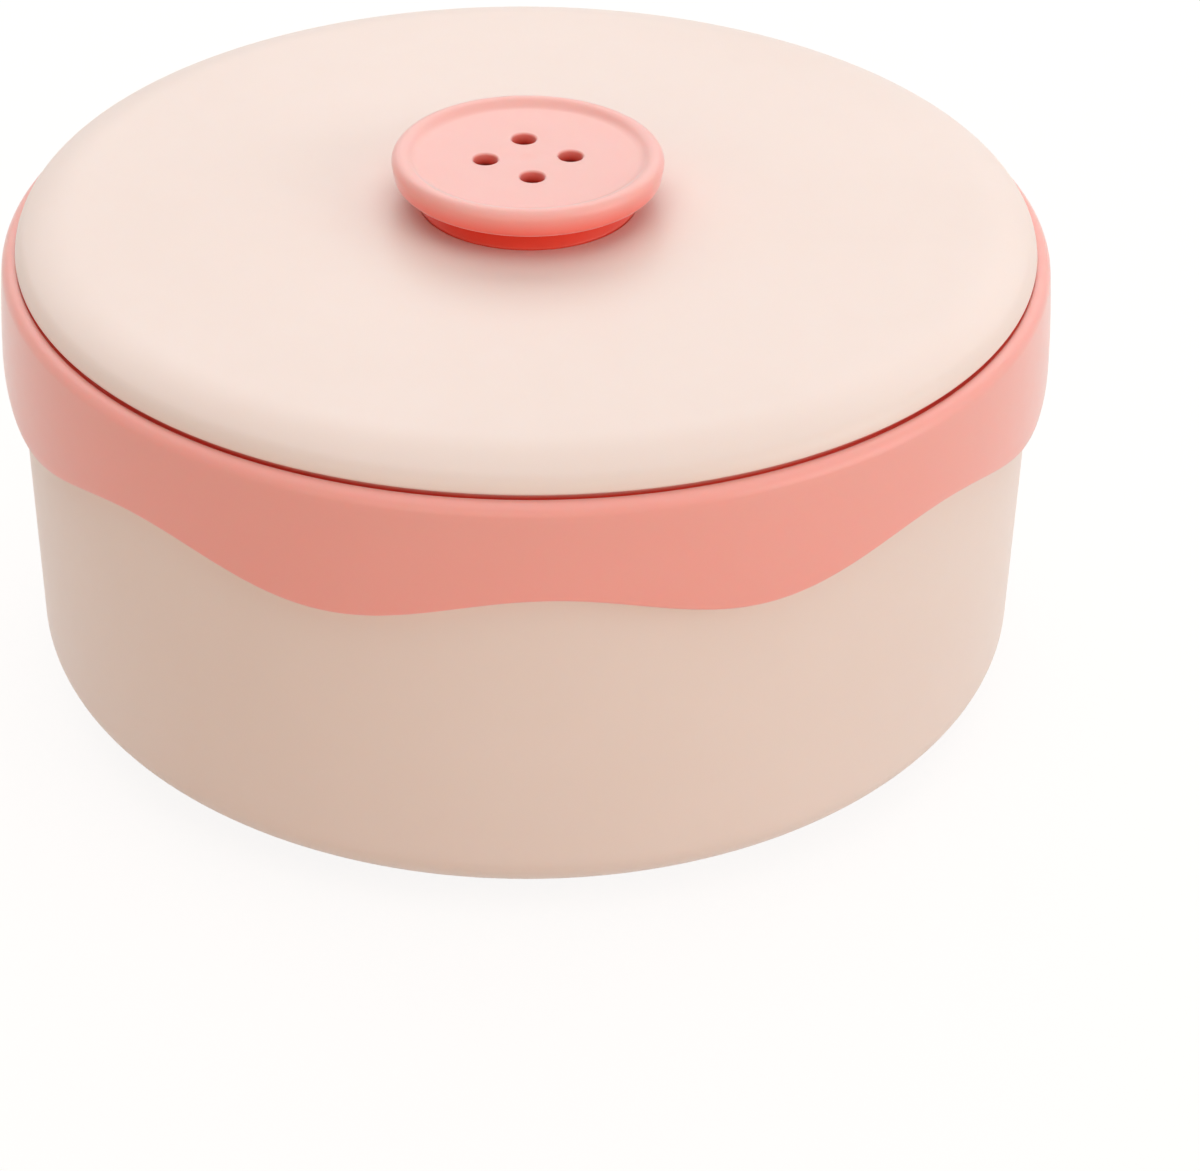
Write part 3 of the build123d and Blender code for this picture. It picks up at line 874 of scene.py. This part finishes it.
peg_section = section(
    (0, floor_top + PEG_HEIGHT),
    (PEG_RADIUS - PEG_TIP_CHAMFER, floor_top + PEG_HEIGHT, PEG_ROUNDING),
    (PEG_RADIUS, floor_top + PEG_HEIGHT - PEG_TIP_CHAMFER, PEG_ROUNDING),
    (PEG_RADIUS, foot),
    (0, foot),
)
for index in range(PEG_COUNT):
    spin_section(tray_mesh, peg_section, steps=SMALL_STEPS, centre=peg_place(index))
spin_section(tray_mesh, tray_section)
print("tray without its ears, faces", len(tray_mesh.faces))

# %% [markdown]
# An ear is cut flat first, because its outline and its slot are easy to draw on a plane: the two
# outlines are filled with triangles and extruded. A row of upright cuts then gives the plate enough
# edges to bend, and each point moves back until it lies on the tray's round wall.

# %% Tray ears
EAR_WIDTH = 34.0
EAR_HEIGHT = 26.0
EAR_CORNER_RADIUS = 7.0
EAR_CLEARANCE = 0.5
SLOT_LENGTH = 24.0
SLOT_HEIGHT = 7.5
SLOT_MARGIN = 2.2
SLOT_END_FLAT = 0.01
EAR_ROUNDING = 0.4
EAR_CUT_PITCH = 2
ear_outer_radius = plug_radius - LID_PLUG_WALL - EAR_CLEARANCE


def ear_plate():
    """One flat ear with its finger slot, rounded edges and cuts, ready to bend."""
    bm = bmesh.new()
    half = EAR_WIDTH / 2
    top = floor_top + EAR_HEIGHT
    slot_top = top - SLOT_MARGIN
    slot_bottom = slot_top - SLOT_HEIGHT
    slot_round = SLOT_HEIGHT / 2 - SLOT_END_FLAT
    body = section(
        (-half, foot),
        (half, foot),
        (half, top, EAR_CORNER_RADIUS),
        (-half, top, EAR_CORNER_RADIUS),
        steps=10,
    )
    slot = section(
        (-SLOT_LENGTH / 2, slot_bottom, slot_round),
        (SLOT_LENGTH / 2, slot_bottom, slot_round),
        (SLOT_LENGTH / 2, slot_top, slot_round),
        (-SLOT_LENGTH / 2, slot_top, slot_round),
        steps=8,
    )
    for outline in (body, slot):
        draw_line(bm, [(0, y, z) for y, z in outline])
    bmesh.ops.triangle_fill(bm, edges=bm.edges, use_beauty=True, use_dissolve=False)
    thicken(bm, bm.faces[:], (-TRAY_WALL, 0, 0))
    bmesh.ops.recalc_face_normals(bm, faces=bm.faces)
    rims = [edge for edge in bm.edges if edge.calc_face_angle(0) > CORNER_ANGLE]
    round_edges(bm, rims, EAR_ROUNDING)
    for cut in range(-int(half), int(half) + 1, EAR_CUT_PITCH):
        everything = bm.verts[:] + bm.edges[:] + bm.faces[:]
        bmesh.ops.bisect_plane(bm, geom=everything, plane_co=(0, cut * MM, 0), plane_no=(0, 1, 0))
    return bm


for side in (1, -1):
    ear = ear_plate()
    for vert in ear.verts:
        depth = vert.co.x / MM
        reach = sqrt((ear_outer_radius + depth) ** 2 - (vert.co.y / MM) ** 2)
        vert.co.x = side * reach * MM
    ear_data = bpy.data.meshes.new("ear")
    ear.to_mesh(ear_data)
    ear.free()
    tray_mesh.from_mesh(ear_data)
    bpy.data.meshes.remove(ear_data)
finish_piece(tray_mesh, "tray_pan", "tray", ["inner_tray"], coral_tray_plastic)

# %% [markdown]
# ## The reels
# A reel is a thin drum with a flange at each end. Four ribs hold a hub in the middle of it, a little
# lower than the rim. One reel is modelled around its own axis, because all twelve are alike.

# %% Reel model
REEL_HEIGHT = 26.0
FLANGE_THICKNESS = 1.3
FLANGE_WIDTH = 0.6
DRUM_WALL = 0.6
BORE_RADIUS = 4.4
HUB_WALL = 0.6
HUB_RECESS = 4.0
REEL_RIB_COUNT = 4
REEL_RIB_THICKNESS = 0.6
REEL_RIB_SETBACK = 0.05
REEL_RIB_ROUNDING = 0.15
FLANGE_ROUNDING = 0.3
REEL_EDGE_ROUNDING = 0.25
REEL_STEPS = 72
drum_radius = REEL_RADIUS - FLANGE_WIDTH
drum_inner_radius = drum_radius - DRUM_WALL
hub_radius = BORE_RADIUS + HUB_WALL
hub_height = REEL_HEIGHT - HUB_RECESS
thread_bottom = FLANGE_THICKNESS
thread_top = REEL_HEIGHT - FLANGE_THICKNESS


def reel_model():
    """One reel that stands on the origin."""
    bm = bmesh.new()
    drum = section(
        (drum_inner_radius, 0, REEL_EDGE_ROUNDING),
        (REEL_RADIUS, 0, FLANGE_ROUNDING),
        (REEL_RADIUS, thread_bottom, FLANGE_ROUNDING),
        (drum_radius, thread_bottom),
        (drum_radius, thread_top),
        (REEL_RADIUS, thread_top, FLANGE_ROUNDING),
        (REEL_RADIUS, REEL_HEIGHT, FLANGE_ROUNDING),
        (drum_inner_radius, REEL_HEIGHT, REEL_EDGE_ROUNDING),
        steps=3,
    )
    spin_section(bm, drum, closed=True, steps=REEL_STEPS)
    hub = section(
        (BORE_RADIUS, 0),
        (hub_radius, 0),
        (hub_radius, hub_height, REEL_EDGE_ROUNDING),
        (BORE_RADIUS, hub_height, REEL_EDGE_ROUNDING),
        steps=3,
    )
    spin_section(bm, hub, closed=True, steps=REEL_STEPS)
    others = set(bm.verts)
    inner_end = hub_radius - HUB_WALL / 2
    outer_end = drum_inner_radius + DRUM_WALL / 2
    half = REEL_RIB_THICKNESS / 2
    rib_top = hub_height - REEL_RIB_SETBACK
    block(bm, (inner_end, -half, REEL_RIB_SETBACK), (outer_end, half, rib_top), REEL_RIB_ROUNDING)
    rib = [vert for vert in bm.verts if vert not in others]
    faces = {face for vert in rib for face in vert.link_faces}
    repeat_around(bm, rib + list(edges_of(rib)) + list(faces), REEL_RIB_COUNT)
    bmesh.ops.recalc_face_normals(bm, faces=bm.faces)
    return bm


reel = reel_model()
print("one reel, faces", len(reel.faces))

# %% [markdown]
# A copy of the reel goes to each peg. Its plastic is white but lets light through, so the drum's wall
# takes a tint from the thread behind it. That tint is painted on the mesh, and so one material serves
# all twelve.

# %% Reels on their pegs
WHITE_PLASTIC = Vector((0.86, 0.86, 0.84, 1))
WALL_TINT = 0.45
HUB_TINT = 0.16
RIM_TINT = 0.03
THREADS = {
    "orange": (238, 118, 36),
    "dark_green": (20, 82, 70),
    "navy": (34, 62, 128),
    "black": (28, 30, 38),
    "peach": (240, 160, 142),
    "taupe": (98, 82, 68),
    "green": (46, 154, 78),
    "blush": (236, 198, 196),
    "yellow": (246, 220, 74),
    "amber": (240, 148, 44),
    "pink": (236, 134, 150),
    "caramel": (178, 106, 38),
}


def reel_tint(radius, height):
    """How much of the thread's colour shines through a part of a reel."""
    if radius < drum_inner_radius - PAINT_MARGIN:
        return HUB_TINT
    return WALL_TINT if thread_bottom < height < thread_top else RIM_TINT


def stand_on_peg(bm, index):
    """Turns and moves a model from the origin to its peg."""
    x, y = peg_place(index)
    place = Matrix.Translation(Vector((x, y, floor_top)) * MM) @ Matrix.Rotation(peg_bearing(index), 4, "Z")
    bmesh.ops.transform(bm, matrix=place, verts=bm.verts)


reel_plastic = moulded_plastic("reel_plastic", None, 0.3, grain_depth=0.05)
for index, colour in enumerate(THREADS.values()):
    number = f"{index + 1:02d}"
    copy = reel.copy()
    thread_colour = screen_colour(*colour)
    paint_light_and_shade(copy, lambda radius, height: WHITE_PLASTIC.lerp(thread_colour, reel_tint(radius, height)))
    stand_on_peg(copy, index)
    node = f"reel_{number}"
    finish_piece(copy, f"spool_{number}", node, [node], reel_plastic, recalculate=False)
reel.free()

# %% [markdown]
# ## The thread
# Wound thread is one unbroken strand, so it is modelled as one: a small hexagon that a spin carries
# round the drum sixty times while it climbs by its own thickness each turn. The strand then wanders a
# little, as the winding machine left it, and a few loose turns cross over the others. A core under the
# strand keeps the drum from showing between the turns.

# %% Thread windings
THREAD_TURNS = 60
STEPS_PER_TURN = 36
THREAD_EDGE_DEPTH = 0.45
THREAD_CROWN = 0.2
THREAD_TAPER = 2.5
THREAD_OVERLAP = 1.08
CROSSING_TURNS = 3
CROSSING_MARGIN = 2
WANDER = 0.05
SWAY_SHARE = 0.4
# Waves round the drum, and the turn of each wave in radians for a millimetre of height
SWAYS = ((3, 1.7), (5, -2.9))
HEAVE = (2, 0.8)
thread_pitch = (thread_top - thread_bottom) / THREAD_TURNS
thread_thickness = thread_pitch * THREAD_OVERLAP
edge_radius = drum_radius + THREAD_EDGE_DEPTH


def winding_radius(height):
    """Outer radius of the winding at a height: lower by the flanges, full in the middle."""
    from_end = min(height - thread_bottom, thread_top - height)
    share = max(0.0, min(1.0, from_end / THREAD_TAPER))
    return edge_radius + THREAD_CROWN * (1 - (1 - share) ** 2)


def spin_strand(bm, start_height, climb, turns):
    """Spins a six-sided strand around the upright axis while it climbs, in millimetres."""
    centre = (edge_radius - thread_thickness / 2, start_height)
    ring = arc(centre, thread_thickness / 2, 0, 300, 5)
    steps = turns * STEPS_PER_TURN
    spin(bm, draw_line(bm, [(x, 0, z) for x, z in ring]), turns, steps, climb=climb / steps)


def winding_model():
    """One winding around the upright axis, with the height of the drum it fills."""
    bm = bmesh.new()
    climb = thread_top - thread_bottom
    spin_strand(bm, thread_bottom, climb, THREAD_TURNS)
    spin_strand(bm, thread_bottom + CROSSING_MARGIN, climb - 2 * CROSSING_MARGIN, CROSSING_TURNS)
    rings = [edge for edge in bm.edges if edge.is_boundary]
    bmesh.ops.holes_fill(bm, edges=rings, sides=6)
    for vert in bm.verts:
        height = vert.co.z / MM
        bearing = atan2(vert.co.y, vert.co.x)
        sway = sum(sin(waves * bearing + slope * height) for waves, slope in SWAYS)
        radius = hypot(vert.co.x, vert.co.y) / MM
        grow = (radius + winding_radius(height) - edge_radius + SWAY_SHARE * WANDER * sway) / radius
        vert.co.x *= grow
        vert.co.y *= grow
        vert.co.z += WANDER * sin(HEAVE[0] * bearing + HEAVE[1] * height) * MM
    core = edge_radius - thread_thickness / 2
    core_section = section(
        (drum_radius, thread_bottom),
        (core, thread_bottom),
        (core + THREAD_CROWN, thread_bottom + THREAD_TAPER),
        (core + THREAD_CROWN, thread_top - THREAD_TAPER),
        (core, thread_top),
        (drum_radius, thread_top),
    )
    spin_section(bm, core_section, closed=True, steps=REEL_STEPS)
    bmesh.ops.recalc_face_normals(bm, faces=bm.faces)
    return bm


winding = winding_model()
print("one winding, faces", len(winding.faces))

# %% [markdown]
# Sewing thread is spun polyester. Its fibres lie in a steep twist and stand out a little, which gives
# a fine slanted grain and a soft sheen at the edges. The group makes the grain from stretched noise,
# and darkens it in the hollows as painted shade. Only the colour differs from one thread to the next.

# %% Thread finish
TWIST = radians(25)
FIBRE_SCALE = 2600.0
# Painted shade in the hollows between the fibres
FIBRE_SHADE_TINT = (0.7, 0.66, 0.64, 1)
DYE_SCALE = 300.0
DYE_TINT = (0.84, 0.82, 0.8, 1)


def wound_thread_group():
    """Node group: a thread's colour with painted shade between its fibres and uneven dye, and the fibres'
    normal.
    """
    outputs = {"Colour": "Color", "Normal": "Vector"}
    group, given, result, place = new_group("wound_thread", {"Colour": "Color"}, outputs)
    slant = group.nodes.new("ShaderNodeMapping")
    fill_inputs(group, slant, {"Vector": place, "Rotation": (TWIST, TWIST, 0), "Scale": (1.0, 1.0, 3.0)})
    fibres = noise_node(group, slant.outputs["Vector"], FIBRE_SCALE, detail=3.0)
    dye = noise_node(group, place, DYE_SCALE)
    # The fibres' hollows get painted shade
    fibre_shade = tinted(group, given.outputs["Colour"], FIBRE_SHADE_TINT, map_node(group, fibres, 0.6, 0.0))
    faded = tinted(group, fibre_shade, DYE_TINT, map_node(group, dye, 0.0, 0.7))
    normal = bump_node(group, fibres, strength=0.5, depth=0.04)
    fill_inputs(group, result, {"Colour": faded, "Normal": normal})
    return group


WOUND_THREAD = wound_thread_group()


def thread_material(name, colour):
    """Spun polyester thread of one colour."""
    material, tree, shader = new_material(name)
    strand = tree.nodes.new("ShaderNodeGroup")
    strand.node_tree = WOUND_THREAD
    strand.inputs["Colour"].default_value = colour
    finish = {"Base Color": strand.outputs["Colour"], "Normal": strand.outputs["Normal"]}
    finish.update({"Roughness": 0.55, "Sheen Weight": 0.4, "Sheen Roughness": 0.4})
    fill_inputs(tree, shader, finish)
    return material


for index, (shade, colour) in enumerate(THREADS.items()):
    number = f"{index + 1:02d}"
    copy = winding.copy()
    stand_on_peg(copy, index)
    name = f"thread_{shade}"
    material = thread_material(name, screen_colour(*colour))
    finish_piece(
        copy, f"winding_{number}", f"reel_{number}", [f"thread_{number}"], material, recalculate=False
    )
winding.free()

# %% [markdown]
# ## The floor and the light
# The box stands on a white sweep in soft studio light. The sweep and the sky are white to the camera
# and in reflections, and only there. A mask of the rays that see them keeps that white off the pale
# plastic, which it would overexpose.

# %% What the camera and reflections see
def seen_or_mirrored(tree):
    """A mask that is 1 for camera, glossy and transmission rays."""
    path = tree.nodes.new("ShaderNodeLightPath")
    mask = path.outputs["Is Camera Ray"]
    for kind in ("Is Glossy Ray", "Is Transmission Ray"):
        mask = math_node(tree, "MAXIMUM", mask, path.outputs[kind])
    return mask


def mix_shaders(tree, share, first, second, output):
    """Sends two shaders to the output node, the second by its share."""
    mix = tree.nodes.new("ShaderNodeMixShader")
    for source, target in zip((share, first, second), mix.inputs):
        tree.links.new(source, target)
    tree.links.new(mix.outputs["Shader"], tree.nodes[output].inputs["Surface"])


# %% [markdown]
# The sweep is one wide square. For the camera most of it glows white, and the rest keeps its own
# shading, so the box still stands in a soft shadow.

# %% Floor
FLOOR_SIZE = 30.0
FLOOR_COLOUR = (0.72, 0.63, 0.55, 1)
FLOOR_GLOW = 0.8
FLOOR_WHITE = 1.1


def floor_material():
    """A white floor that keeps the box's shadow and is lifted towards white for the camera."""
    material, tree, shader = new_material("white_sweep")
    fill_inputs(tree, shader, {"Base Color": FLOOR_COLOUR, "Roughness": 0.9})
    glow = tree.nodes.new("ShaderNodeEmission")
    glow.inputs["Strength"].default_value = FLOOR_WHITE
    share = math_node(tree, "MULTIPLY", seen_or_mirrored(tree), FLOOR_GLOW)
    mix_shaders(tree, share, shader.outputs["BSDF"], glow.outputs["Emission"], "Material Output")
    return material


floor_mesh = bmesh.new()
bmesh.ops.create_grid(floor_mesh, x_segments=1, y_segments=1, size=FLOOR_SIZE / 2)
floor = make_object(floor_mesh, "floor", floor_material())
print("floor metres across", FLOOR_SIZE)

# %% [markdown]
# Two wide lamps, overhead and behind the box, light the lid evenly, and its shoulder falls off from
# them towards the front. The lid and the button's face mirror the white surroundings at a flat angle,
# which makes them paler than the sides. A lamp at the right and a warm fill at the front left keep the
# sides open.

# %% Lamps and sky
BOX_MIDDLE = Vector((0, 0, 0.07))
WARM = (1.0, 0.84, 0.73)
COOL = (0.98, 1.0, 1.02)
SKY_COLOUR = (1.0, 0.96, 0.93, 1)
SKY_STRENGTH = 0.29


def soft_lamp(name, bearing, elevation, distance, width, height, radiance, colour):
    """A soft box aimed at the box; its bearing runs from the front towards the right."""
    data = bpy.data.lights.new(name, "AREA")
    data.shape = "RECTANGLE"
    data.size = width
    data.size_y = height
    data.energy = radiance * pi * width * height
    data.color = colour
    lamp = bpy.data.objects.new(name, data)
    turn = radians(bearing)
    rise = radians(elevation)
    direction = Vector((sin(turn) * cos(rise), -cos(turn) * cos(rise), sin(rise)))
    lamp.location = BOX_MIDDLE + direction * distance
    lamp.rotation_mode = "QUATERNION"
    lamp.rotation_quaternion = direction.to_track_quat("Z", "Y")
    bpy.context.scene.collection.objects.link(lamp)


# Bearing and elevation in degrees, distance, width and height in metres, radiance, colour
LAMPS = {
    "top_window": (0, 84, 1.8, 2.4, 2.0, 1.03, COOL),
    "back_window": (178, 40, 1.7, 3.2, 1.0, 1.8, COOL),
    "right_window": (66, 15, 1.8, 1.4, 1.2, 2.4, COOL),
    "front_fill": (-20, 15, 1.8, 2.2, 1.0, 1.15, WARM),
}
for name, setting in LAMPS.items():
    soft_lamp(name, *setting)
print("lamps", list(LAMPS))

world = bpy.data.worlds.new("studio")
world.use_nodes = True
bpy.context.scene.world = world
sky_tree = world.node_tree
sky = sky_tree.nodes["Background"]
fill_inputs(sky_tree, sky, {"Color": SKY_COLOUR, "Strength": SKY_STRENGTH})
white = sky_tree.nodes.new("ShaderNodeBackground")
white.inputs["Color"].default_value = (1, 1, 1, 1)
backgrounds = (sky.outputs["Background"], white.outputs["Background"])
mix_shaders(sky_tree, seen_or_mirrored(sky_tree), *backgrounds, "World Output")
bpy.context.scene.view_settings.view_transform = "Standard"
